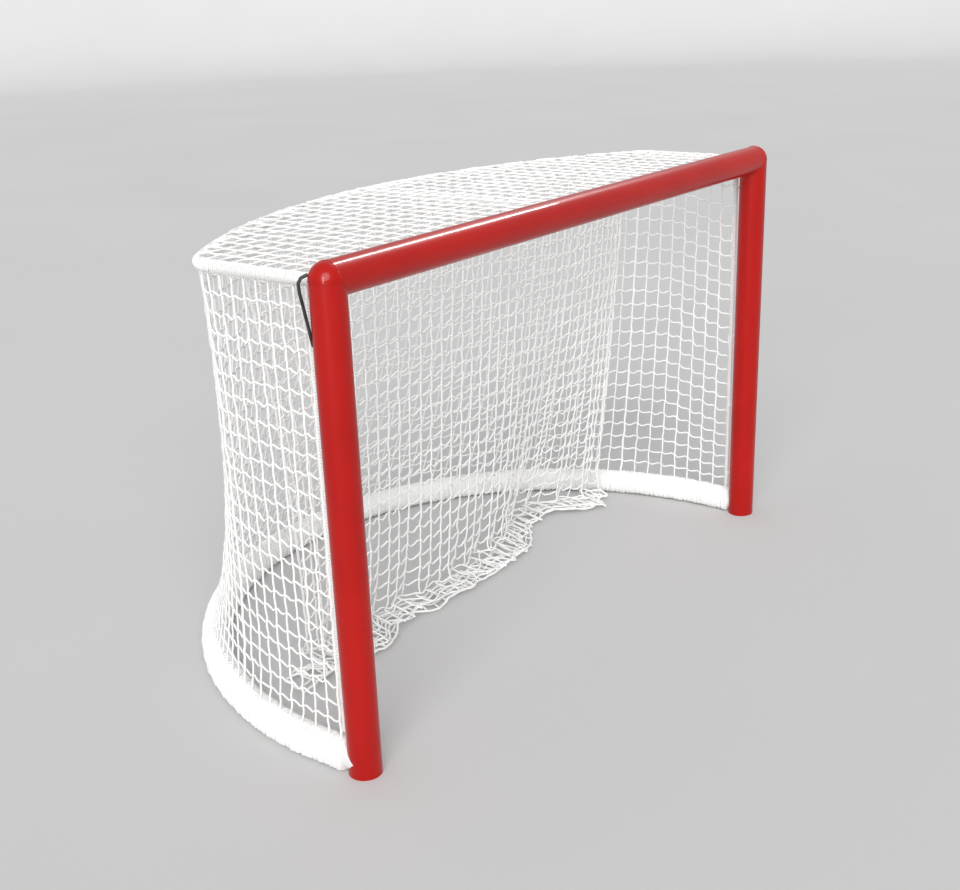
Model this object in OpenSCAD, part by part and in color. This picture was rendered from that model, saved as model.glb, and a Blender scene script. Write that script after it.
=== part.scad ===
// Hockey goal: welded tube frame with a laced outer net and a free hanging inner net.
// X runs along the crossbar, the mouth faces -Y, Z is up and the goal stands on Z = 0.
// The origin is the middle of the footprint of the whole goal, on the floor.

/* [Mouth] */
// Clear width between the posts
mouth_w = 1700; // [1200:10:2400]
// Clear height under the crossbar
mouth_h = 1050; // [800:10:1500]
// Outside diameter of the posts and the crossbar
post_d = 75; // [60:1:90]
// Wall of the posts and the crossbar
post_wall = 3; // [2:0.5:5]
// Thickness of the plate that closes the foot of a post
foot_t = 4; // [3:0.5:8]

/* [Base ring] */
// Straight run of the base tube behind the goal line
base_leg = 118; // [100:1:200]
// How far the base tube stands outside the middle of the posts
base_flare = 7.5; // [0:0.5:12]
// Outside diameter of the base tube
base_d = 60; // [48:1:70]
// Wall of the base tube
base_wall = 3; // [2:0.5:5]
// Thickness of the net wound round the base tube
wrap_t = 4.8; // [3:0.1:8]
// Half the length of the spigot inside the rear joint
spigot_half = 60; // [40:1:100]

/* [Top frame] */
// Depth of the top frame at its sides
top_side = 372; // [300:1:450]
// Depth of the top frame in the middle
top_mid = 675; // [560:1:760]
// How far the top frame sits under the middle of the crossbar
top_drop = 5; // [0:0.5:8]
// Outside diameter of the arms, the bow and the brace
top_d = 20; // [18:0.5:24]
// Wall of the arms, the bow and the brace
top_wall = 2; // [1.5:0.25:3]
// Diameter of the bar that carries the inner net
bar_d = 14; // [10:0.5:18]

/* [Lacing] */
// Diameter of the lacing rods
rod_d = 8; // [6:0.5:10]
// Clear gap between a tube and its lacing rod
rod_gap = 10; // [8:0.5:15]
// Diameter of the lugs that hold a lacing rod
lug_d = 7; // [5:0.5:9]
// Number of lugs along each post
post_lugs = 5; // [3:1:8]
// Number of lugs along the crossbar
bar_lugs = 8; // [4:1:12]
// Thickness of a cord lashing round a tube or rod
lash_t = 3.2; // [2:0.1:5]
// Diameter of the black net hooks
hook_d = 6; // [5:0.5:8]
// Height of a net hook
hook_h = 150; // [100:1:200]
// Clear gap between a post and its net hook
hook_gap = 15; // [10:1:25]

/* [Nets] */
// Thickness of a net as hung
net_t = 5; // [4:0.5:8]
// How far the outer net hangs in from a straight line
net_sag = 18; // [0:1:40]
// Diameter of the seam cords at the rear corners
seam_d = 6; // [5:0.5:8]
// Gap at each side between the frame and the inner net
curtain_gap = 110; // [60:1:200]
// How far the inner net drifts to the rear on its way to the floor
curtain_drift = 90; // [0:1:120]
// How far the foot of the inner net lies forward along the floor
curtain_lap = 75; // [40:1:120]

/* [Hidden] */
$fn = 64;

clear = 0.3;                                    // running gap round a sleeve
free = 1;                                       // gap between a soft piece and its neighbour
eps = 0.01;
proud = 0.05;                                   // how much a ball at a bend stands out

post_r = post_d / 2;
half_w = (mouth_w + post_d) / 2;                // middle of a post from the middle of the goal
bar_z = mouth_h + post_r;                       // middle of the crossbar
post_rear = post_r;

base_r = base_d / 2;
wrap_r = base_r + wrap_t;
base_z = wrap_r;                                // the wound net rests on the floor
ring_r = half_w + base_flare;                   // radius of the semicircle of the base
base_mid = base_leg + ring_r;                   // depth of the base in the middle

top_r = top_d / 2;
top_z = bar_z - top_drop;
bow_rise = top_mid - top_side;
bow_r = (half_w * half_w + bow_rise * bow_rise) / (2 * bow_rise);
bow_y = top_mid - bow_r;                        // middle of the bow's circle
bow_half = asin(half_w / bow_r);                // half the angle of the bow
top_lash_r = top_r + lash_t;
bar_r = bar_d / 2;
bar_lash_r = bar_r + lash_t;
bar_y = top_side - (top_r + bar_r + free) / cos(bow_half) + top_r * tan(bow_half);

rod_r = rod_d / 2;
rod_y = post_rear + rod_gap + rod_r;            // middle of every lacing rod
rod_lash_r = rod_r + lash_t;
rod_z = top_z + top_r + rod_r + free;           // the crossbar's rod passes over the brace
rod_low = 2 * wrap_r + 15;
rod_high = top_z - top_lash_r - 25;
bar_rod_half = half_w - post_r;
lug_inset = 40;                                 // first lug from the end of its rod

net_front = rod_y + rod_lash_r + free;
net_low = 2 * wrap_r + free;
net_high = top_z - top_lash_r - free;
roof_z = top_z + top_lash_r + free;
arm_run = top_side - net_front;
leg_run = base_leg - net_front;
bow_run = 2 * bow_half * PI / 180 * bow_r;
ring_run = PI * ring_r;
top_run = 2 * arm_run + bow_run;
base_run = 2 * leg_run + ring_run;
corner_f = arm_run / top_run;                   // share of the net's run at a rear corner
seam_f = (seam_d / 2 + net_t / 2 + 2 * free) / top_run;
step_f = 0.012;                                 // step for the direction of the run
side_cols = 10;
back_cols = 44;
net_rows = 6;

wrap_turn = 55;                                 // bend covered by a side length of wound net
hook_rise = 10;                                 // start of a hook above the crossbar's middle
hook_drop = 22;                                 // upright run of a hook before it slopes in
hang_top = top_z - max(bar_lash_r, top_r) - free;   // top edge of the inner net
hang_steps = 12;

shift_y = -(base_mid + wrap_r - post_r) / 2;    // puts the origin under the middle

red = [0.72, 0.05, 0.03];
white = [0.93, 0.93, 0.92];
cord = [0.96, 0.96, 0.95];
black = [0.05, 0.05, 0.05];

// ---- helpers ----

// Moves a piece so that the origin is under the middle of the goal
module placed() {
    translate([0, shift_y, 0]) children();
}

module other_side() {
    mirror([1, 0, 0]) children();
}

// Solid cylinder from one point to another
module rod(a, b, r) {
    v = b - a;
    turn = atan2(v[1], v[0]);
    tilt = atan2(norm([v[0], v[1]]), v[2]);
    translate(a) rotate([0, tilt, turn]) cylinder(h = norm(v), r = r);
}

// Round bar through a list of points, with a ball at each bend a hair wider than the bar
module bent_rod(points, r) {
    for (i = [1 : len(points) - 1]) rod(points[i - 1], points[i], r);
    for (i = [1 : len(points) - 2]) translate(points[i]) sphere(r = r + proud);
}

// Round sleeve from one point to another
module sleeve(a, b, r, bore) {
    v = (b - a) / norm(b - a) * eps;
    difference() {
        rod(a, b, r);
        rod(a - v, b + v, bore);
    }
}

// Outer skin of posts and crossbar, which every welded tube is cut to
module frame_skin(r = post_r) {
    for (side = [-1, 1]) {
        rod([side * half_w, 0, -eps], [side * half_w, 0, bar_z], r);
        translate([side * half_w, 0, bar_z]) sphere(r = r);
    }
    rod([-half_w, 0, bar_z], [half_w, 0, bar_z], r);
}

// ---- red mouth frame ----

// Space below the 45 degree mitre of the left corner
module below_mitre() {
    rotate([90, 0, 0]) translate([0, 0, -post_d]) linear_extrude(2 * post_d)
        polygon([[-half_w - post_d, -post_d], [-half_w - post_d, bar_z], [-half_w, bar_z],
                 [-half_w + post_d, bar_z - post_d], [-half_w + post_d, -post_d]]);
}

// Space above both mitres and between the two corners
module above_mitres() {
    rotate([90, 0, 0]) translate([0, 0, -post_d]) linear_extrude(2 * post_d)
        polygon([[-half_w, bar_z], [-half_w + post_d, bar_z - post_d],
                 [half_w - post_d, bar_z - post_d], [half_w, bar_z],
                 [half_w, bar_z + post_d], [-half_w, bar_z + post_d]]);
}

module post() {
    intersection() {
        sleeve([-half_w, 0, foot_t], [-half_w, 0, bar_z], post_r, post_r - post_wall);
        below_mitre();
    }
}

module left_post() {
    color(red) placed() post();
}

module right_post() {
    color(red) placed() other_side() post();
}

module crossbar() {
    color(red) placed() intersection() {
        sleeve([-half_w, 0, bar_z], [half_w, 0, bar_z], post_r, post_r - post_wall);
        above_mitres();
    }
}

// Quarter ball that rounds the outside of a mitred corner
module corner_cap() {
    intersection() {
        translate([-half_w, 0, bar_z]) difference() {
            sphere(r = post_r);
            sphere(r = post_r - post_wall);
        }
        translate([-half_w - post_d, -post_d, bar_z]) cube([post_d, 2 * post_d, post_d]);
    }
}

module left_corner_cap() {
    color(red) placed() corner_cap();
}

module right_corner_cap() {
    color(red) placed() other_side() corner_cap();
}

// Disc that closes the foot of a post and rests on the floor
module foot_plate() {
    translate([-half_w, 0, 0]) cylinder(h = foot_t, r = post_r);
}

module left_foot_plate() {
    color(red) placed() foot_plate();
}

module right_foot_plate() {
    color(red) placed() other_side() foot_plate();
}

// ---- base ring ----

// Outline of a tube's section
module tube_section(r, bore) {
    difference() {
        circle(r = r, $fn = 48);
        circle(r = bore, $fn = 48);
    }
}

// Sweeps a section round the base bend, turn degrees on from start
module base_bend(start, turn) {
    translate([0, base_leg, base_z]) rotate([0, 0, start])
        rotate_extrude(angle = turn, $fn = 96) translate([ring_r, 0]) children();
}

// Left part of the base as a solid bar
module base_bar(r) {
    rod([-ring_r, 0, base_z], [-ring_r, base_leg, base_z], r);
    base_bend(90, 90) circle(r = r, $fn = 48);
}

// Left leg and turn degrees of bend as a tube, cut to a post of radius skin
module base_side(r, bore, turn, skin) {
    difference() {
        sleeve([-ring_r, 0, base_z], [-ring_r, base_leg, base_z], r, bore);
        frame_skin(skin);
    }
    base_bend(180 - turn, turn) tube_section(r, bore);
}

module base_half() {
    base_side(base_r, base_r - base_wall, 90, post_r);
}

module left_base_tube() {
    color(white) placed() base_half();
}

module right_base_tube() {
    color(white) placed() other_side() base_half();
}

// Short bent tube that lines up the two halves of the base at the rear
module base_joint_spigot() {
    outer = base_r - base_wall - clear;
    half_turn = spigot_half / ring_r * 180 / PI;
    color("silver") placed()
        base_bend(90 - half_turn, 2 * half_turn) tube_section(outer, outer - base_wall);
}

module side_wrap() {
    base_side(wrap_r, base_r + clear, wrap_turn, post_r + free);
}

module left_base_wrap() {
    color(cord) placed() side_wrap();
}

module right_base_wrap() {
    color(cord) placed() other_side() side_wrap();
}

module rear_base_wrap() {
    gap = free / ring_r * 180 / PI;
    color(cord) placed() base_bend(wrap_turn + gap, 180 - 2 * (wrap_turn + gap))
        tube_section(wrap_r, base_r + clear);
}

// ---- white top frame ----

// Solid bar along one top arm, which runs past its corner as far as the bow is thick
module arm_solid(r, side = -1) {
    rod([side * half_w, 0, top_z], [side * half_w, top_side + top_r, top_z], r);
}

module arm() {
    difference() {
        sleeve([-half_w, 0, top_z], [-half_w, top_side + top_r, top_z], top_r, top_r - top_wall);
        frame_skin();
    }
}

module left_top_arm() {
    color(white) placed() arm();
}

module right_top_arm() {
    color(white) placed() other_side() arm();
}

// Tube along the bow's circle, half_turn degrees each way from its middle
module bow_tube(r, bore, half_turn) {
    translate([0, bow_y, top_z]) rotate([0, 0, 90 - half_turn])
        rotate_extrude(angle = 2 * half_turn, $fn = 128) translate([bow_r, 0])
            tube_section(r, bore);
}

// The middle of the bow as a solid bar, which the rear brace is cut to
module bow_middle() {
    half_turn = (top_r + free) / bow_r * 180 / PI;
    translate([0, bow_y, top_z]) rotate([0, 0, 90 - half_turn])
        rotate_extrude(angle = 2 * half_turn, $fn = 128) translate([bow_r, 0])
            circle(r = top_r, $fn = 48);
}

module bar_solid(r, half) {
    rod([-half, bar_y, top_z], [half, bar_y, top_z], r);
}

module brace_solid(r) {
    rod([0, 0, top_z], [0, top_mid + top_d, top_z], r);
}

module top_bow() {
    color(white) placed() difference() {
        bow_tube(top_r, top_r - top_wall, bow_half);
        arm_solid(top_r + clear);
        arm_solid(top_r + clear, 1);
    }
}

module curtain_bar() {
    color(white) placed() difference() {
        bar_solid(bar_r, half_w);
        arm_solid(top_r);
        arm_solid(top_r, 1);
    }
}

module front_brace() {
    color(white) placed() difference() {
        sleeve([0, 0, top_z], [0, bar_y, top_z], top_r, top_r - top_wall);
        frame_skin();
        bar_solid(bar_r, top_d);
    }
}

module rear_brace() {
    color(white) placed() difference() {
        sleeve([0, bar_y, top_z], [0, top_mid, top_z], top_r, top_r - top_wall);
        bar_solid(bar_r, top_d);
        bow_middle();
    }
}

// ---- lacing rods, lugs and hooks ----

function post_lug_z(i) =
    rod_low + lug_inset + i * (rod_high - rod_low - 2 * lug_inset) / (post_lugs - 1);

function bar_lug_x(i) =
    -bar_rod_half + lug_inset + i * 2 * (bar_rod_half - lug_inset) / (bar_lugs - 1);

module post_rod() {
    rod([-half_w, rod_y, rod_low], [-half_w, rod_y, rod_high], rod_r);
}

module bar_rod() {
    rod([-bar_rod_half, rod_y, rod_z], [bar_rod_half, rod_y, rod_z], rod_r);
}

module left_lacing_rod() {
    color(white) placed() post_rod();
}

module right_lacing_rod() {
    color(white) placed() other_side() post_rod();
}

module crossbar_lacing_rod() {
    color(white) placed() bar_rod();
}

module post_rod_lugs() {
    for (i = [0 : post_lugs - 1]) difference() {
        rod([-half_w, 0, post_lug_z(i)], [-half_w, rod_y, post_lug_z(i)], lug_d / 2);
        frame_skin();
        post_rod();
    }
}

module left_rod_lugs() {
    color(white) placed() post_rod_lugs();
}

module right_rod_lugs() {
    color(white) placed() other_side() post_rod_lugs();
}

module crossbar_rod_lugs() {
    color(white) placed() for (i = [0 : bar_lugs - 1]) difference() {
        rod([bar_lug_x(i), 0, rod_z], [bar_lug_x(i), rod_y, rod_z], lug_d / 2);
        frame_skin();
        bar_rod();
    }
}

// Black wire that runs out behind the top of a post and slopes back to it lower down
module net_hook() {
    out = [-1, 1, 0] / sqrt(2);
    top = [-half_w, 0, bar_z + hook_rise];
    far = post_r + hook_gap + hook_d / 2;
    difference() {
        bent_rod([top, top + far * out - [0, 0, hook_rise],
                  top + far * out - [0, 0, hook_rise + hook_drop],
                  top + post_r * out - [0, 0, hook_h]], hook_d / 2);
        frame_skin();
    }
}

module left_net_hook() {
    color(black) placed() net_hook();
}

module right_net_hook() {
    color(black) placed() other_side() net_hook();
}

// ---- outer net ----

// Point of the top run at distance d from its front left end
function top_at(d) =
    d < arm_run ? [-half_w, net_front + d]
    : d > arm_run + bow_run ? [half_w, top_side - (d - arm_run - bow_run)]
    : let (a = 90 + bow_half - 2 * bow_half * (d - arm_run) / bow_run)
        [bow_r * cos(a), bow_y + bow_r * sin(a)];

// Point of the base run at distance d from its front left end
function base_at(d) =
    d < leg_run ? [-ring_r, net_front + d]
    : d > leg_run + ring_run ? [ring_r, base_leg - (d - leg_run - ring_run)]
    : let (a = 180 - 180 * (d - leg_run) / ring_run)
        [ring_r * cos(a), base_leg + ring_r * sin(a)];

// Plan of the net at share f of its run and share t of its height
function plan_at(f, t) = (1 - t) * base_at(f * base_run) + t * top_at(f * top_run);

// Unit vector into the goal, square to the net's plan
function inward(f, t) =
    let (d = plan_at(min(1, f + step_f), t) - plan_at(max(0, f - step_f), t))
        [d[1], -d[0]] / norm(d);

// Point of the net, moved off its middle surface by off
function net_at(f, t, off) =
    let (p = plan_at(f, t) + (4 * net_sag * t * (1 - t) + off) * inward(f, t))
        [p[0], p[1], net_low + t * (net_high - net_low)];

// Closed shell of the net from share f0 to share f1 of its run
module net_wall(f0, f1, cols) {
    rows = net_rows;
    layer = (cols + 1) * (rows + 1);
    function at(s, i, j) = s * layer + i * (rows + 1) + j;
    points = [for (off = [-net_t / 2, net_t / 2], i = [0 : cols], j = [0 : rows])
        net_at(f0 + (f1 - f0) * i / cols, j / rows, off)];
    skins = [for (i = [0 : cols - 1], j = [0 : rows - 1])
        each [[at(0, i, j), at(0, i + 1, j), at(0, i + 1, j + 1)],
              [at(0, i, j), at(0, i + 1, j + 1), at(0, i, j + 1)],
              [at(1, i, j), at(1, i + 1, j + 1), at(1, i + 1, j)],
              [at(1, i, j), at(1, i, j + 1), at(1, i + 1, j + 1)]]];
    ends = [for (j = [0 : rows - 1])
        each [[at(0, 0, j), at(0, 0, j + 1), at(1, 0, j + 1), at(1, 0, j)],
              [at(0, cols, j + 1), at(0, cols, j), at(1, cols, j), at(1, cols, j + 1)]]];
    hems = [for (i = [0 : cols - 1])
        each [[at(0, i + 1, 0), at(0, i, 0), at(1, i, 0), at(1, i + 1, 0)],
              [at(0, i, rows), at(0, i + 1, rows), at(1, i + 1, rows), at(1, i, rows)]]];
    polyhedron(points = points, faces = concat(skins, ends, hems));
}

module left_side_net() {
    color(cord) placed() net_wall(0, corner_f - seam_f, side_cols);
}

module right_side_net() {
    color(cord) placed() net_wall(1 - corner_f + seam_f, 1, side_cols);
}

module back_net() {
    color(cord) placed() net_wall(corner_f + seam_f, 1 - corner_f - seam_f, back_cols);
}

// Cord that joins the side net to the back net under a rear corner
module seam_cord() {
    bent_rod([for (j = [0 : net_rows]) net_at(corner_f, j / net_rows, 0)], seam_d / 2);
}

module left_seam_cord() {
    color(cord) placed() seam_cord();
}

module right_seam_cord() {
    color(cord) placed() other_side() seam_cord();
}

module roof_net() {
    color(cord) placed() translate([0, 0, roof_z]) linear_extrude(net_t) intersection() {
        translate([0, bow_y]) circle(r = bow_r, $fn = 128);
        translate([-half_w, net_front]) square([2 * half_w, top_mid]);
    }
}

// ---- inner net ----

// Middle line of the inner net at share t of its way down to the top of its foot
function hang_at(t) =
    [bar_y + curtain_drift * sin(90 * t), hang_top - t * (hang_top - net_t)];

module inner_net() {
    half = half_w - curtain_gap;
    heel = hang_at(1)[0];
    edge = [net_t / 2, 0];
    color(cord) placed() difference() {
        translate([-half, 0, 0]) rotate([90, 0, 90]) linear_extrude(2 * half)
            polygon(concat([for (i = [0 : hang_steps]) hang_at(i / hang_steps) + edge],
                           [[heel, 0] + edge, [heel - curtain_lap, 0],
                            [heel - curtain_lap, net_t]],
                           [for (i = [hang_steps : -1 : 0]) hang_at(i / hang_steps) - edge]));
        base_bar(wrap_r + free);
        other_side() base_bar(wrap_r + free);
    }
}

// ---- lashings ----

module arm_lashing() {
    sleeve([-half_w, net_front, top_z], [-half_w, bar_y - bar_lash_r - free, top_z],
           top_lash_r, top_r + clear);
}

module left_arm_lashing() {
    color(cord) placed() arm_lashing();
}

module right_arm_lashing() {
    color(cord) placed() other_side() arm_lashing();
}

// The lashing stops short of the corner and is notched where the brace meets the bow
module bow_lashing() {
    short = (top_lash_r + bar_r + 2 * free) / sin(bow_half) / bow_r * 180 / PI;
    color(cord) placed() difference() {
        bow_tube(top_lash_r, top_r + clear, bow_half - short);
        rod([0, bar_y, top_z], [0, top_mid, top_z], top_r + free);
    }
}

module inner_net_lashing() {
    half = half_w - curtain_gap;
    color(cord) placed() difference() {
        sleeve([-half, bar_y, top_z], [half, bar_y, top_z], bar_lash_r, bar_r + clear);
        brace_solid(top_r + free);
    }
}

module post_rod_lashing() {
    off = [0, 0, lug_d / 2 + free];
    for (i = [1 : post_lugs - 1])
        sleeve([-half_w, rod_y, post_lug_z(i - 1)] + off, [-half_w, rod_y, post_lug_z(i)] - off,
               rod_lash_r, rod_r + clear);
}

module left_rod_lashing() {
    color(cord) placed() post_rod_lashing();
}

module right_rod_lashing() {
    color(cord) placed() other_side() post_rod_lashing();
}

module crossbar_lashing() {
    off = [lug_d / 2 + free, 0, 0];
    color(cord) placed() difference() {
        for (i = [1 : bar_lugs - 1])
            sleeve([bar_lug_x(i - 1), rod_y, rod_z] + off, [bar_lug_x(i), rod_y, rod_z] - off,
                   rod_lash_r, rod_r + clear);
        brace_solid(top_r + free);
    }
}

left_post();
right_post();
crossbar();
left_corner_cap();
right_corner_cap();
left_foot_plate();
right_foot_plate();
left_base_tube();
right_base_tube();
base_joint_spigot();
left_top_arm();
right_top_arm();
top_bow();
curtain_bar();
front_brace();
rear_brace();
left_lacing_rod();
right_lacing_rod();
crossbar_lacing_rod();
left_rod_lugs();
right_rod_lugs();
crossbar_rod_lugs();
left_net_hook();
right_net_hook();
left_side_net();
right_side_net();
back_net();
roof_net();
inner_net();
left_seam_cord();
right_seam_cord();
left_base_wrap();
rear_base_wrap();
right_base_wrap();
left_arm_lashing();
right_arm_lashing();
bow_lashing();
left_rod_lashing();
right_rod_lashing();
crossbar_lashing();
inner_net_lashing();
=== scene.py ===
"""Looks of a hockey goal: enamelled tube frame, square cord nets, lashings and a wound base."""
import math

import bpy
from mathutils import Matrix, Vector
from mathutils import noise as field


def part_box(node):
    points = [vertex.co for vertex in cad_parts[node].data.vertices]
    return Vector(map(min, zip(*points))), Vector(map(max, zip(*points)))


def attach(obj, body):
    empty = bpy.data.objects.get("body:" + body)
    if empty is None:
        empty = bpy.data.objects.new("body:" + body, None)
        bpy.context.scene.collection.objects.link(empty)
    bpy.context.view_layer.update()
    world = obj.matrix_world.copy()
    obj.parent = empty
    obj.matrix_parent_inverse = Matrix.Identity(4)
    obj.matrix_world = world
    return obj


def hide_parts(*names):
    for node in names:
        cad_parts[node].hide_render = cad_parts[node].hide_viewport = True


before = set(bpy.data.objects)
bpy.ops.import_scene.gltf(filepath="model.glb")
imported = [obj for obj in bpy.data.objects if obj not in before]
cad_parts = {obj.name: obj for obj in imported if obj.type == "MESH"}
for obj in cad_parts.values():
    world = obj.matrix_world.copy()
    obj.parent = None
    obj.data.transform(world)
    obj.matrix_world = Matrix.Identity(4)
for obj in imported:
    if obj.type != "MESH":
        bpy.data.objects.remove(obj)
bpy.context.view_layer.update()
field.seed_set(11)                   # without this, the lumps would differ on every run


# ---- places, read from the fixed frame ----

def middle(node):
    low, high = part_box(node)
    return (low + high) / 2


def span(node):
    low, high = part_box(node)
    return high - low


half_w = -middle("left_post").x
goal_y = middle("left_post").y
post_r = span("left_post").x / 2
bar_z = middle("crossbar").z

wrap_r = span("rear_base_wrap").z / 2
ring_r = -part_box("left_base_wrap")[0].x - wrap_r
ring_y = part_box("rear_base_wrap")[1].y - wrap_r - ring_r      # middle of the base's semicircle

top_r = span("left_top_arm").x / 2
top_z = middle("left_top_arm").z
side_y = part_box("left_top_arm")[1].y - top_r                  # rear corner of the top frame
rear_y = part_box("top_bow")[1].y - top_r
bow_rise = rear_y - side_y
bow_r = (half_w ** 2 + bow_rise ** 2) / (2 * bow_rise)
bow_y = rear_y - bow_r
bow_half = math.asin(half_w / bow_r)

rod = middle("left_lacing_rod")
rod_r = span("left_lacing_rod").x / 2
rod_low, rod_high = (corner.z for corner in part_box("left_lacing_rod"))
top_rod = middle("crossbar_lacing_rod")
bar = middle("curtain_bar")
bar_r = span("curtain_bar").z / 2
curtain_half = span("inner_net").x / 2

# ---- cord and net sizes ----

cord_r = 0.0025                      # net cord
knot_r = 0.0038
selvage_r = 0.0032                   # thick cord along an edge of a net
lash_r = 0.0016                      # thin cord of the lashings
mesh_w = 0.0435                      # one mesh of the net as cut, across
mesh_h = 0.0430                      # and down
floor_gap = 0.0005

net_front = rod.y + rod_r + cord_r
net_low = 2 * wrap_r - cord_r
net_high = top_z - top_r - cord_r
arm_run = side_y - net_front
leg_run = ring_y - net_front
bow_run = 2 * bow_half * bow_r
ring_run = math.pi * ring_r
top_run = 2 * arm_run + bow_run
base_run = 2 * leg_run + ring_run
corner_f = arm_run / top_run         # share of the run at a rear corner
bend = 0.05                          # length of tube taken by half of a rear corner's bend
hair = 1e-4                          # points nearer than this count as on an edge
cuts = 3                             # points that each mesh side is bent at
corner_draw = 0.016                  # how far a bent corner pulls the roof net in


# ---- small tools ----

def clear_selection():
    """Nothing stays selected."""
    for piece in bpy.context.selected_objects:
        piece.select_set(False)


def pick(*chosen):
    clear_selection()
    for piece in chosen:
        piece.select_set(True)
    bpy.context.view_layer.objects.active = chosen[0]


def dress(piece, name, material, replaced=()):
    """Names a finished piece, gives it its material and lets it ride on the goal."""
    piece.name = name
    piece.data.name = name
    piece.data.materials.clear()
    piece.data.materials.append(material)
    if replaced:
        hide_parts(*replaced)
    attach(piece, "root")
    return piece


def cords(routes, radius, sides=1, cyclic=False):
    """Round cords along several lists of points, as one mesh."""
    curve = bpy.data.curves.new("cords", "CURVE")
    curve.dimensions = "3D"
    curve.bevel_depth = radius
    curve.bevel_resolution = sides
    curve.use_fill_caps = not cyclic
    for route in routes:
        line = curve.splines.new("POLY")
        line.points.add(len(route) - 1)
        line.points.foreach_set("co", [c for p in route for c in (*p, 1)])
        line.use_cyclic_u = cyclic
    piece = bpy.data.objects.new("cords", curve)
    bpy.context.collection.objects.link(piece)
    pick(piece)
    bpy.ops.object.convert(target="MESH")
    piece = bpy.context.object
    pick(piece)
    bpy.ops.object.shade_smooth()
    return piece


def join(first, *others):
    pick(first, *others)
    bpy.ops.object.join()
    return bpy.context.object


def frame_at(route, i):
    """Direction of a route at point i, with two directions square to it."""
    ahead = (route[min(i + 1, len(route) - 1)] - route[max(i - 1, 0)]).normalized()
    side = ahead.cross(Vector((0, 0, 1)))
    side = side.normalized() if side.length > 0.1 else Vector((1, 0, 0))
    return ahead, side, side.cross(ahead)


def walk(place, length, step):
    """Points about step apart along place(distance)."""
    count = max(2, round(length / step))
    return [place(length * i / count) for i in range(count + 1)]


def coil(place, length, radius, pitch, turn_points=12, start=0.0, way=1):
    """Route of a cord wound round the line place(distance), a turn each pitch."""
    route = walk(place, length, pitch / turn_points)
    turns = []
    for i, point in enumerate(route):
        _, side, up = frame_at(route, i)
        angle = start + way * 2 * math.pi * i / turn_points
        turns.append(point + radius * (math.cos(angle) * side + math.sin(angle) * up))
    return turns


# ---- materials ----

def new_material(name):
    material = bpy.data.materials.new(name)
    material.use_nodes = True
    nodes = material.node_tree.nodes
    return material, nodes, material.node_tree.links, nodes["Principled BSDF"]


def noise(nodes, links, vector, scale, detail=3.0, stretch=(1, 1, 1)):
    mapping = nodes.new("ShaderNodeMapping")
    mapping.inputs["Scale"].default_value = stretch
    texture = nodes.new("ShaderNodeTexNoise")
    texture.inputs["Scale"].default_value = scale
    texture.inputs["Detail"].default_value = detail
    links.new(vector, mapping.inputs["Vector"])
    links.new(mapping.outputs["Vector"], texture.inputs["Vector"])
    return texture.outputs["Fac"]


def blend_colours(nodes, links, factor, dark, light, low=0.35, high=0.65):
    ramp = nodes.new("ShaderNodeValToRGB")
    ramp.color_ramp.elements[0].position = low
    ramp.color_ramp.elements[1].position = high
    ramp.color_ramp.elements[0].color = (*dark, 1)
    ramp.color_ramp.elements[1].color = (*light, 1)
    links.new(factor, ramp.inputs["Fac"])
    return ramp.outputs["Color"]


def span_values(nodes, links, value, low, high):
    scaled = nodes.new("ShaderNodeMapRange")
    scaled.inputs["To Min"].default_value = low
    scaled.inputs["To Max"].default_value = high
    links.new(value, scaled.inputs["Value"])
    return scaled.outputs["Result"]


def raise_surface(nodes, links, shader, height, depth, strength=1.0):
    bump = nodes.new("ShaderNodeBump")
    bump.inputs["Distance"].default_value = depth
    bump.inputs["Strength"].default_value = strength
    links.new(height, bump.inputs["Height"])
    links.new(bump.outputs["Normal"], shader.inputs["Normal"])


def enamel(name, dark, light, rough, coat):
    """Sprayed paint on steel: nearly even colour, fine orange peel and a clear glossy skin."""
    material, nodes, links, shader = new_material(name)
    place = nodes.new("ShaderNodeTexCoord").outputs["Object"]
    cloudy = noise(nodes, links, place, 5.0)
    links.new(blend_colours(nodes, links, cloudy, dark, light), shader.inputs["Base Color"])
    haze = noise(nodes, links, place, 14.0, 2.0)
    links.new(span_values(nodes, links, haze, rough * 0.9, rough * 1.1),
              shader.inputs["Roughness"])
    raise_surface(nodes, links, shader, noise(nodes, links, place, 260.0), 0.0002, 0.25)
    shader.inputs["Coat Weight"].default_value = coat
    shader.inputs["Coat Roughness"].default_value = 0.05
    shader.inputs["Specular IOR Level"].default_value = 0.15
    return material


def braided(name, dark, light, grain):
    """White cord of fine yarn: slightly soiled, with a fuzzy surface, grain bumps per metre."""
    material, nodes, links, shader = new_material(name)
    place = nodes.new("ShaderNodeTexCoord").outputs["Object"]
    soiled = noise(nodes, links, place, 9.0, 5.0)
    links.new(blend_colours(nodes, links, soiled, dark, light), shader.inputs["Base Color"])
    raise_surface(nodes, links, shader, noise(nodes, links, place, grain, 4.0), 0.0006, 0.7)
    shader.inputs["Roughness"].default_value = 0.8
    shader.inputs["Specular IOR Level"].default_value = 0.1
    shader.inputs["Sheen Weight"].default_value = 0.2
    shader.inputs["Sheen Roughness"].default_value = 0.5
    return material


def black_plastic():
    material, nodes, links, shader = new_material("black_coating")
    place = nodes.new("ShaderNodeTexCoord").outputs["Object"]
    worn = noise(nodes, links, place, 60.0, 4.0)
    links.new(blend_colours(nodes, links, worn, (0.008, 0.008, 0.008), (0.025, 0.025, 0.025)),
              shader.inputs["Base Color"])
    links.new(span_values(nodes, links, worn, 0.3, 0.55), shader.inputs["Roughness"])
    raise_surface(nodes, links, shader, noise(nodes, links, place, 400.0), 0.0002, 0.3)
    return material


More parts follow.
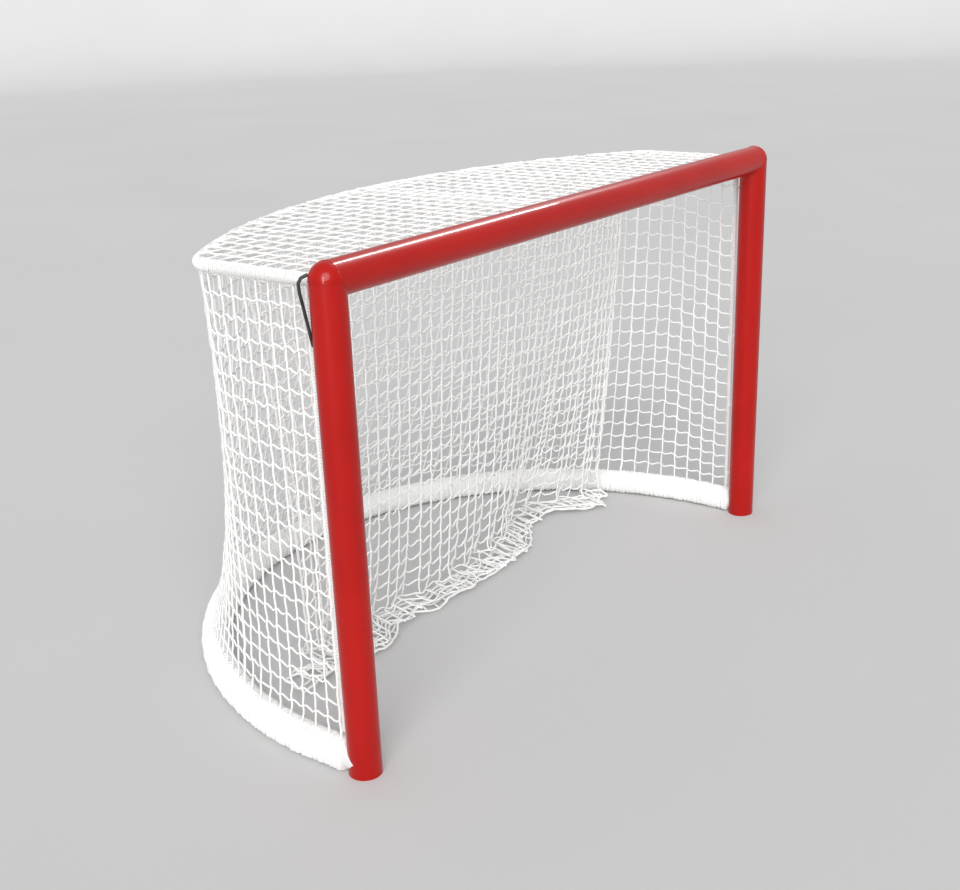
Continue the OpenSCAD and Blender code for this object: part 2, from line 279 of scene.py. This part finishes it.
def drawn_steel():
    material, nodes, links, shader = new_material("drawn_steel")
    place = nodes.new("ShaderNodeTexCoord").outputs["Object"]
    drawn = noise(nodes, links, place, 90.0, 5.0, (0.1, 1, 1))
    links.new(blend_colours(nodes, links, drawn, (0.32, 0.32, 0.33), (0.55, 0.55, 0.56)),
              shader.inputs["Base Color"])
    links.new(span_values(nodes, links, drawn, 0.25, 0.5), shader.inputs["Roughness"])
    shader.inputs["Metallic"].default_value = 1.0
    return material


red_paint = enamel("red_enamel", (0.40, 0.004, 0.002), (0.45, 0.006, 0.003), 0.35, 0.3)
white_paint = enamel("white_enamel", (0.80, 0.80, 0.79), (0.86, 0.86, 0.85), 0.32, 0.3)
net_cord = braided("net_cord", (0.90, 0.90, 0.89), (0.96, 0.96, 0.95), 700.0)
thin_cord = braided("thin_cord", (0.90, 0.90, 0.89), (0.96, 0.96, 0.95), 1000.0)
wound_cord = braided("wound_cord", (0.88, 0.88, 0.87), (0.95, 0.95, 0.94), 700.0)
black_wire = black_plastic()
bare_steel = drawn_steel()


# ---- frame: the tubes keep their shape and take their finish ----

RED = ("left_post", "right_post", "crossbar", "left_corner_cap", "right_corner_cap",
       "left_foot_plate", "right_foot_plate")
WHITE = ("left_base_tube", "right_base_tube", "curtain_bar", "front_brace", "rear_brace",
         "left_lacing_rod", "right_lacing_rod", "crossbar_lacing_rod",
         "left_rod_lugs", "right_rod_lugs", "crossbar_rod_lugs")
for names, finish in ((RED, red_paint), (WHITE, white_paint),
                      (("base_joint_spigot",), bare_steel)):
    for node_name in names:
        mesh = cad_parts[node_name].data
        mesh.materials.clear()
        mesh.materials.append(finish)


def weld_beads():
    """Low rounded seams round the two mitred corners and where the arms meet the posts."""
    bead_r = 0.0011
    arcs = []
    quarter = [math.radians(a) for a in range(-90, 91, 6)]
    for side in (-1, 1):
        for plane in ("cap", "bar", "mitre"):
            points = []
            for a in quarter:
                out, across = post_r * math.cos(a), post_r * math.sin(a)
                x, z = {"cap": (out, 0), "bar": (0, out), "mitre": (-out, -out)}[plane]
                points.append(Vector((side * (half_w + x), goal_y + across, bar_z + z)))
            arcs.append(points)
    dress(cords(arcs, bead_r), "corner_weld_seams", red_paint)
    rings = []
    for x in (-half_w, half_w):
        rings.append([Vector((x + (top_r + bead_r) * math.cos(a),
                              goal_y + post_r + 2 * bead_r,
                              top_z + (top_r + bead_r) * math.sin(a)))
                      for a in (math.radians(d) for d in range(0, 360, 15))])
    fillets = cords(rings, 2 * bead_r, cyclic=True)
    dress(fillets, "arm_weld_fillets", red_paint)


weld_beads()


# ---- nets: cut flat, hung on the frame, settled as cloth and then made round cords ----

def sharp_top(d):
    """Point of the top frame at distance d from its front left end, with plain corners."""
    if d < arm_run:
        return Vector((-half_w, net_front + d, 0))
    if d > arm_run + bow_run:
        return Vector((half_w, side_y - (d - arm_run - bow_run), 0))
    a = math.pi / 2 + bow_half - (d - arm_run) / bow_r
    return Vector((bow_r * math.cos(a), bow_y + bow_r * math.sin(a), 0))


def top_place(d):
    """The same with the tube bent round at its two rear corners."""
    for corner in (arm_run, arm_run + bow_run):
        if abs(d - corner) < bend:
            t = (d - corner + bend) / (2 * bend)
            before, at, after = (sharp_top(corner + k * bend) for k in (-1, 0, 1))
            return before.lerp(at, t).lerp(at.lerp(after, t), t)
    return sharp_top(d)


def base_place(d):
    """Point of the base ring at distance d from its front left end."""
    if d < leg_run:
        return Vector((-ring_r, net_front + d, 0))
    if d > leg_run + ring_run:
        return Vector((ring_r, ring_y - (d - leg_run - ring_run), 0))
    a = math.pi - (d - leg_run) / ring_r
    return Vector((ring_r * math.cos(a), ring_y + ring_r * math.sin(a), 0))


def wall_place(f, t):
    """Point of the outer wall at share f of its run and share t of its height."""
    place = base_place(f * base_run).lerp(top_place(f * top_run), t)
    place.z = net_low + t * (net_high - net_low)
    return place


def net_grid(cols, rows, side_cuts=cuts):
    """Square net as bare cords, each mesh side cut into short lengths. It lies in a unit square."""
    clear_selection()
    bpy.ops.mesh.primitive_grid_add(x_subdivisions=cols, y_subdivisions=rows, size=1)
    net = bpy.context.object
    bpy.ops.object.mode_set(mode="EDIT")
    bpy.ops.mesh.delete(type="ONLY_FACE")
    bpy.ops.mesh.select_all(action="SELECT")
    bpy.ops.mesh.subdivide(number_cuts=side_cuts)
    bpy.ops.object.mode_set(mode="OBJECT")
    return net


def trim(piece, unwanted):
    """Deletes the vertices whose entry in the list is true."""
    pick(piece)
    bpy.context.tool_settings.mesh_select_mode = (True, False, False)
    bpy.ops.object.mode_set(mode="EDIT")
    bpy.ops.mesh.select_all(action="DESELECT")
    bpy.ops.object.mode_set(mode="OBJECT")
    piece.data.vertices.foreach_set("select", unwanted)
    bpy.ops.object.mode_set(mode="EDIT")
    bpy.ops.mesh.delete(type="VERT")
    bpy.ops.object.mode_set(mode="OBJECT")


def uneven(x, y, size=0.006, wave=0.05):
    """Small steady unevenness of a net that was knotted by hand."""
    return size * field.noise_vector(Vector((x, y, 0)) / wave)


def settle(net, cut, laced, frames):
    """Sags a hung net from its laced points. cut gives each point's place on the flat net: the
    cords go slack but don't stretch."""
    group = net.vertex_groups.new(name="laced")
    group.add(laced, 1.0, "REPLACE")
    net.shape_key_add(name="hung")
    flat = net.shape_key_add(name="cut")
    flat.data.foreach_set("co", [c for place in cut for c in place])
    flat.value = 0
    cloth = net.modifiers.new("hang", "CLOTH")
    cloth.settings.vertex_group_mass = group.name
    cloth.settings.rest_shape_key = flat
    cloth.settings.mass = 0.02
    cloth.settings.quality = 8
    cloth.settings.air_damping = 2
    cloth.settings.tension_stiffness = 30
    cloth.settings.compression_stiffness = 0
    cloth.settings.shear_stiffness = 0
    cloth.settings.bending_stiffness = 0
    cloth.settings.tension_damping = 5
    cloth.point_cache.frame_end = frames
    pick(net)
    for step in range(1, frames + 1):
        bpy.context.scene.frame_set(step)
    bpy.ops.object.convert(target="MESH")
    net = bpy.context.object
    bpy.context.scene.frame_set(1)
    return net


def loosen(net, share, cols, rows, size=0.003, lowest=0.0):
    """Twist of the hand-tied knots: cords across leave them in a flat S, and all is uneven."""
    for vertex, (u, v) in zip(net.data.vertices, share):
        x, y = u * cols, v * rows
        vertex.co += size * field.noise_vector(Vector((1.7 * x, 1.7 * y, 5)))
        if abs(y - round(y)) < 0.01 and v > lowest:
            twist = 0.0035 + 0.003 * field.noise(Vector((0.7 * x, 0.7 * y, 9)))
            vertex.co.z -= twist * math.sin(2 * math.pi * x)


def edge_cord(net, chosen, radius):
    """Thick cord through the chosen points of a net, in their order along it."""
    return cords([[net.data.vertices[i].co.copy() for along, i in sorted(chosen)]], radius, sides=2)


def knots(places, radius):
    """A small knot, modelled once and copied to each place."""
    clear_selection()
    bpy.ops.mesh.primitive_ico_sphere_add(subdivisions=1, radius=radius)
    seed = bpy.context.object
    corners = [v.co.copy() for v in seed.data.vertices]
    faces = [tuple(f.vertices) for f in seed.data.polygons]
    mesh = bpy.data.meshes.new("knots")
    points, skins = [], []
    for n, place in enumerate(places):
        turn = Matrix.Rotation(0.7 * n, 3, "Z")
        skins += [tuple(i + len(points) for i in f) for f in faces]
        points += [tuple(place + turn @ c) for c in corners]
    mesh.from_pydata(points, [], skins)
    piece = bpy.data.objects.new("knots", mesh)
    bpy.context.collection.objects.link(piece)
    bpy.data.objects.remove(seed)
    pick(piece)
    bpy.ops.object.shade_smooth()
    return piece


def net_cords(net):
    """Turns a settled net into round cords with a knot at each crossing."""
    met = [0] * len(net.data.vertices)
    for edge in net.data.edges:
        for i in edge.vertices:
            met[i] += 1
    crossings = [net.data.vertices[i].co.copy() for i, n in enumerate(met) if n > 2]
    tied = knots(crossings, knot_r)
    pick(net)
    bpy.ops.object.convert(target="CURVE")
    net = bpy.context.object
    net.data.bevel_depth = cord_r
    net.data.bevel_resolution = 1
    bpy.ops.object.convert(target="MESH")
    bpy.ops.object.shade_smooth()
    return join(bpy.context.object, tied)


def outer_wall():
    """The outer wall is knotted and hung as one net, then parted at the two rear corners."""
    left_cols, back_cols, right_cols, rows = 9, 52, 8, 23
    cols = left_cols + back_cols + right_cols
    left, right = left_cols / cols, 1 - right_cols / cols
    slip_share, slip_drop = 0.07, 0.05

    def run_share(u):
        """Share of the wall's run at share u of the columns: the corners keep their columns."""
        if u < left:
            return corner_f * u / left
        if u > right:
            return 1 - corner_f * (1 - u) / (1 - right)
        return corner_f + (1 - 2 * corner_f) * (u - left) / (right - left)

    def hung(u, v):
        place = wall_place(run_share(u), v)
        slip = max(0, 1 - (1 - u) / slip_share)  # the right front edge has slipped down its rod
        place.z -= slip_drop * slip * min(1, 4 * v, 8 * (1 - v))
        return place

    def flat(u, v):
        x, y = u * cols * mesh_w, v * (net_high - net_low)
        return Vector((x, y, 0)) + uneven(x, y, 0.008)

    grid = net_grid(cols, rows)
    share = [(v.co.x + 0.5, v.co.y + 0.5) for v in grid.data.vertices]
    grid.data.vertices.foreach_set("co", [c for u, v in share for c in hung(u, v)])
    laced = [i for i, (u, v) in enumerate(share) if min(u, 1 - u, v, 1 - v) < hair]
    wall = settle(grid, [flat(u, v) for u, v in share], laced, 30)
    loosen(wall, share, cols, rows)
    for name, node, low, high in (("left_side_netting", "left_side_net", 0, left),
                                  ("rear_netting", "back_net", left, right),
                                  ("right_side_netting", "right_side_net", right, 1)):
        part = wall.copy()
        part.data = wall.data.copy()
        bpy.context.collection.objects.link(part)
        trim(part, [not low - hair < u < high + hair for u, v in share])
        pieces = [net_cords(part)]
        if name != "rear_netting":
            front = 0 if low == 0 else 1
            pieces.append(edge_cord(wall, [(v, i) for i, (u, v) in enumerate(share)
                                           if abs(u - front) < hair], selvage_r))
        dress(join(*pieces), name, net_cord, (node,))
    for label, at in (("left", left), ("right", right)):
        seam = edge_cord(wall, [(v, i) for i, (u, v) in enumerate(share) if abs(u - at) < hair],
                         1.3 * cord_r)
        dress(seam, label + "_corner_cord", thin_cord, (label + "_seam_cord",))
    bpy.data.objects.remove(wall)


def bow_edge(x):
    """Rear edge of the roof net at x, drawn in where the top frame's corners are bent."""
    near = max(0, abs(x) - half_w + bend) / bend
    return bow_y + math.sqrt(bow_r ** 2 - min(abs(x), half_w) ** 2) - corner_draw * near ** 2


def roof_netting():
    """Roof net: square meshes along the crossbar, trimmed to the bow, lying on bar and braces."""
    cols, rows = 36, 15
    front = top_rod.y
    mesh_y = (rear_y - front) / rows
    over = top_z + top_r + cord_r
    net = net_grid(cols, rows, side_cuts=0)
    beyond = []
    for v in net.data.vertices:
        x = v.co.x * 2 * half_w
        y = front + (v.co.y + 0.5) * (rear_y - front)
        beyond.append(y > bow_edge(x) + 0.7 * mesh_y)
        v.co = (x, min(y, bow_edge(x)), over)
    trim(net, beyond)
    bpy.ops.object.mode_set(mode="EDIT")
    bpy.ops.mesh.select_all(action="SELECT")
    bpy.ops.mesh.subdivide(number_cuts=cuts)
    bpy.ops.object.mode_set(mode="OBJECT")
    places = [v.co.copy() for v in net.data.vertices]
    laced = [i for i, p in enumerate(places)
             if p.y < front + hair or p.y > bow_edge(p.x) - hair
             or abs(p.x) > half_w - hair or abs(p.x) < top_r or abs(p.y - bar.y) < 2 * bar_r]
    slack = 1.02
    cut = [p * slack + uneven(p.x, p.y) for p in places]
    net = settle(net, cut, laced, 20)
    for v in net.data.vertices:
        v.co += Vector((1, 1, 0.3)) * uneven(v.co.x, v.co.y, 0.006, 0.025)
    dress(net_cords(net), "roof_netting", net_cord, ("roof_net",))


def hanging_netting():
    """Inner net: lashed along its bar, hanging free to the floor, its foot laid in loose folds."""
    cols, drop_rows, foot_rows = 40, 25, 8
    rows = drop_rows + foot_rows
    hang_top = bar.z - bar_r - cord_r
    foot = foot_rows / rows
    rest = 1.5 * cord_r                          # height of the lowest cords
    heel_z = 0.035
    gather = 1.09                                # the net is cut wider than its bar

    def across(s):
        """Columns stand closer toward the right end, where the net is gathered."""
        return curtain_half * (s + 0.1 * (1 - s * s) + 0.1 * s * (1 - s * s))

    def heel(x):
        """Where the net meets the floor: pushed back right of the middle."""
        return bar.y + 0.085 + 0.11 * math.exp(-((x - 0.45) / 0.2) ** 2) + 0.012 * math.sin(17 * x)

    def hung(u, v):
        s = 2 * u - 1
        x = across(s)
        folds = 0.012 + 0.016 * max(0, s) ** 2 + 0.01 * max(0, -s) ** 3
        wave = folds * math.sin(2 * math.pi * s * 7 + 1.5 * math.sin(3 * s))
        low = x + 0.17 * max(0, -s) ** 3 - 0.02 * max(0, s) ** 3     # the lower corners drawn in
        if v >= foot:
            t = (1 - v) / (1 - foot)
            y = bar.y + (heel(low) - bar.y) * math.sin(t * math.pi / 2) + wave * t
            return Vector((x + (low - x) * min(1, 1.4 * t), y, hang_top + t * (heel_z - hang_top)))
        lap = 1 - v / foot
        room = min(1, (0.79 - low) / 0.14)       # the folds run out at the right end
        depth = (0.08 + 0.015 * math.sin(9 * low)) * room
        ripple = field.noise(Vector((8 * low, 5 * lap, 2)))
        y = heel(low) + wave * (1 - lap) - depth * (1 - math.cos(3 * math.pi * lap)) / 2
        z = rest + 0.012 * (1 + ripple) + (heel_z - rest - 0.012) * max(0, 1 - 2 * lap)
        corner = max(0, -s) ** 8                 # the left corner lies out to its side
        return Vector((low + 0.015 * room * math.sin(5 * lap + 9 * low) - 0.12 * corner * lap,
                       y + 0.03 * room * ripple - 0.03 * corner * lap, z))

    def flat(u, v):
        x, y = u * 2 * curtain_half * gather, v * rows * mesh_h
        return Vector((x, y, 0)) + uneven(x + 3, y, 0.008)

    net = net_grid(cols, rows)
    share = [(v.co.x + 0.5, v.co.y + 0.5) for v in net.data.vertices]
    net.data.vertices.foreach_set("co", [c for u, v in share for c in hung(u, v)])
    laced = [i for i, (u, v) in enumerate(share) if v > 1 - hair or v < foot + hair]
    net = settle(net, [flat(u, v) for u, v in share], laced, 40)
    loosen(net, share, cols, rows, 0.004, foot)
    for v in net.data.vertices:
        v.co.z = max(v.co.z, rest)
    edges = [edge_cord(net, chosen, selvage_r) for chosen in (
        [(v, i) for i, (u, v) in enumerate(share) if u < hair],
        [(v, i) for i, (u, v) in enumerate(share) if u > 1 - hair],
        [(u, i) for i, (u, v) in enumerate(share) if v < hair])]
    dress(join(net_cords(net), *edges), "hanging_netting", net_cord, ("inner_net",))


outer_wall()
roof_netting()
hanging_netting()


# ---- lacing: thin cords wound round rods, arms and bow ----

def straight(start, end):
    """Place along a straight line, as a function of the distance from its start."""
    ahead = (end - start).normalized()
    return lambda d: start + d * ahead


def lacing(name, node, lengths, winding_r, pitch):
    """Cord wound along one or more lengths, each a place along it and how long it is."""
    routes = [coil(place, length, winding_r, pitch, start=k)
              for k, (place, length) in enumerate(lengths)]
    dress(cords(routes, lash_r), name, thin_cord, (node,))


def at_top(d):
    """Point of the top frame's middle line, from the front left end of its net."""
    return top_place(d) + Vector((0, 0, top_z))


tube_start = goal_y + 0.9 * post_r - net_front
top_end = arm_run + bow_run
for name, node, low, high in (("left_top_tube", "left_top_arm", tube_start, arm_run - bend),
                              ("rear_top_tube", "top_bow", arm_run - bend, top_end + bend),
                              ("right_top_tube", "right_top_arm", top_end + bend,
                               top_run - tube_start)):
    tube = cords([walk(lambda d: at_top(low + d), high - low, 0.01)], top_r, sides=8)
    dress(tube, name, white_paint, (node,))

arm_wind = top_r + lash_r
rod_wind = rod_r + lash_r
arm_turn, rod_turn = 0.0062, 0.0065            # advance of the cord in one turn
for name, node, low, high in (("left_arm_lacing", "left_arm_lashing", 0, arm_run - bend),
                              ("bow_lacing", "bow_lashing", arm_run - bend, top_end + bend),
                              ("right_arm_lacing", "right_arm_lashing", top_end + bend, top_run)):
    lacing(name, node, [(lambda d: at_top(low + d), high - low)], arm_wind, arm_turn)
for side, label in ((-1, "left"), (1, "right")):
    start = Vector((side * half_w, rod.y, rod_low))
    lacing(label + "_post_lacing", label + "_rod_lashing",
           [(straight(start, Vector((side * half_w, rod.y, rod_high))), rod_high - rod_low)],
           rod_wind, rod_turn)
rod_half = span("crossbar_lacing_rod").x / 2
lacing("crossbar_lacing", "crossbar_lashing",
       [(straight(Vector((-rod_half, top_rod.y, top_rod.z)),
                  Vector((rod_half, top_rod.y, top_rod.z))), 2 * rod_half)], rod_wind, rod_turn)
lacing("hanging_net_lacing", "inner_net_lashing",
       [(straight(Vector((-curtain_half, bar.y, bar.z)),
                  Vector((curtain_half, bar.y, bar.z))), 2 * curtain_half)],
       bar_r + lash_r, rod_turn)


# ---- base: net wound tight round the tube ----

def ring_place(d):
    """Point of the base tube's middle line at distance d from the left post."""
    place = base_place(d - (net_front - goal_y))
    place.z = wrap_r
    return place


def wound_base(name, node, start, end):
    """Smooth inner layers under two layers of net cord wound in opposite directions."""
    inner = cords([walk(lambda d: ring_place(start + d), end - start, 0.02)],
                  wrap_r - 0.6 * cord_r, sides=10)
    turns = [coil(lambda d: ring_place(start + d), end - start, wrap_r - 0.5 * cord_r,
                  pitch, turn_points=16, start=turn, way=way)
             for pitch, turn, way in ((0.012, 0, 1), (0.017, 2, -1), (0.061, 1, 1))]
    for route in turns:
        for point in route:                      # the winding is pulled unevenly tight
            point += 0.0028 * field.noise_vector(point / 0.03)
    outer = cords(turns, cord_r)
    base = join(outer, inner)
    for v in base.data.vertices:                 # below, the wound net sags down to the floor
        hub = Vector((0, ring_y, 0)) if v.co.y > ring_y else Vector((0, v.co.y, 0))
        out = Vector((v.co.x, v.co.y, 0)) - hub
        below = max(0, 1 - v.co.z / wrap_r)
        wide = (out.length - ring_r) * 0.6 * below ** 2
        v.co += out.normalized() * wide
        v.co.z = max(v.co.z, floor_gap)
    dress(base, name, wound_cord, (node,))


leg = ring_y - goal_y
side_turn = math.radians(55)
left_end = leg + side_turn * ring_r
rear_end = leg + (math.pi - side_turn) * ring_r
whole = 2 * leg + ring_run
skin = post_r
wound_base("left_wound_net", "left_base_wrap", skin, left_end)
wound_base("rear_wound_net", "rear_base_wrap", left_end, rear_end)
wound_base("right_wound_net", "right_base_wrap", rear_end, whole - skin)


# ---- seams, edges and hooks ----

def net_hooks():
    """Bent black wire behind the top of each post."""
    for side, label in ((-1, "left"), (1, "right")):
        low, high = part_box(label + "_net_hook")
        wire_r = 0.0035
        out = Vector((side, 1, 0)).normalized()
        post = Vector((side * half_w, goal_y, 0))
        far = abs((low.x if side < 0 else high.x)) - wire_r - half_w
        reach = far * math.sqrt(2)
        top = high.z - wire_r + 0.01
        points = [post + out * (post_r - 0.002) + Vector((0, 0, top)),
                  post + out * (reach - 0.006) + Vector((0, 0, top - 0.006)),
                  post + out * reach + Vector((0, 0, top - 0.016)),
                  post + out * (reach - 0.001) + Vector((0, 0, top - 0.034)),
                  post + out * (post_r + 0.4 * (reach - post_r)) + Vector((0, 0, top - 0.09)),
                  post + out * (post_r - 0.001) + Vector((0, 0, top - 0.14))]
        dress(cords([points], wire_r, sides=3), label + "_hook_wire", black_wire,
              (label + "_net_hook",))


net_hooks()


# ---- stage ----

def stage():
    """Pale floor that curves up out of sight, soft light and the camera."""
    clear_selection()
    flat_r, rise = 20, 4                        # level floor, and the height its edge curves up
    bpy.ops.mesh.primitive_circle_add(vertices=96, radius=flat_r + rise, fill_type="NOTHING",
                                      location=(0, 0, rise))
    floor = bpy.context.object
    floor.name = "floor"
    bpy.ops.object.mode_set(mode="EDIT")
    bends = 10
    for step in range(1, bends + 1):            # the far edge comes down in a soft curve
        a, before = (math.pi / 2 * k / bends for k in (step, step - 1))
        drop = (rise + floor_gap) * (math.sin(a) - math.sin(before))
        shrink = (flat_r + rise * math.cos(a)) / (flat_r + rise * math.cos(before))
        bpy.ops.mesh.extrude_region_move(TRANSFORM_OT_translate={"value": (0, 0, -drop)})
        bpy.ops.transform.resize(value=(shrink, shrink, 1), center_override=(0, 0, 0))
    bpy.ops.mesh.edge_face_add()
    bpy.ops.mesh.select_all(action="SELECT")
    bpy.ops.mesh.normals_make_consistent(inside=True)
    bpy.ops.object.mode_set(mode="OBJECT")
    bpy.ops.object.shade_smooth()
    material, nodes, links, shader = new_material("pale_floor")
    place = nodes.new("ShaderNodeTexCoord").outputs["Object"]
    links.new(blend_colours(nodes, links, noise(nodes, links, place, 0.6),
                            (0.60, 0.60, 0.60), (0.615, 0.615, 0.615)), shader.inputs["Base Color"])
    shader.inputs["Roughness"].default_value = 0.9
    shader.inputs["Specular IOR Level"].default_value = 0.0
    floor.data.materials.append(material)

    world = bpy.data.worlds.new("studio")
    bpy.context.scene.world = world
    world.use_nodes = True
    sky = world.node_tree.nodes["Background"]
    sky.inputs["Color"].default_value = (1, 1, 1, 1)
    sky.inputs["Strength"].default_value = 0.57

    def softbox(name, place, aim, width, height, power):
        light = bpy.data.lights.new(name, "AREA")
        light.shape = "RECTANGLE"
        light.size, light.size_y, light.energy = width, height, power
        lamp = bpy.data.objects.new(name, light)
        lamp.location = place
        lamp.rotation_euler = (Vector(aim) - Vector(place)).to_track_quat("-Z", "Y").to_euler()
        lamp.visible_diffuse = False             # it only makes a streak on the glossy tubes
        bpy.context.collection.objects.link(lamp)

    sun = bpy.data.lights.new("sun", "SUN")
    sun.energy, sun.angle = 2.6, math.radians(45)
    lamp = bpy.data.objects.new("sun", sun)
    lamp.rotation_euler = Vector((0.7, 0.5, -0.52)).to_track_quat("-Z", "Y").to_euler()
    bpy.context.collection.objects.link(lamp)
    softbox("bar_strip", (2.4, 0.06, 3.53), (2.4, -0.5, 1.1), 1.9, 0.45, 110)
    softbox("post_strip", (-4.6, -1.9, 1.8), (-0.9, -0.5, 0.6), 0.7, 2.6, 75)

    camera = bpy.data.cameras.new("camera")
    camera.lens = 50.4
    camera.sensor_width = 36
    camera.shift_y = 0.0573
    eye = bpy.data.objects.new("camera", camera)
    turn, tilt, roll = math.radians(52.02), math.radians(21.62), math.radians(2.23)
    eye.matrix_world = (Matrix.Translation((-2.706, -2.271, 1.627))
                        @ Matrix.Rotation(-turn, 4, "Z")
                        @ Matrix.Rotation(math.pi / 2 - tilt, 4, "X")
                        @ Matrix.Rotation(-roll, 4, "Z"))
    bpy.context.collection.objects.link(eye)
    bpy.context.scene.camera = eye
    bpy.context.scene.view_settings.view_transform = "Standard"


stage()
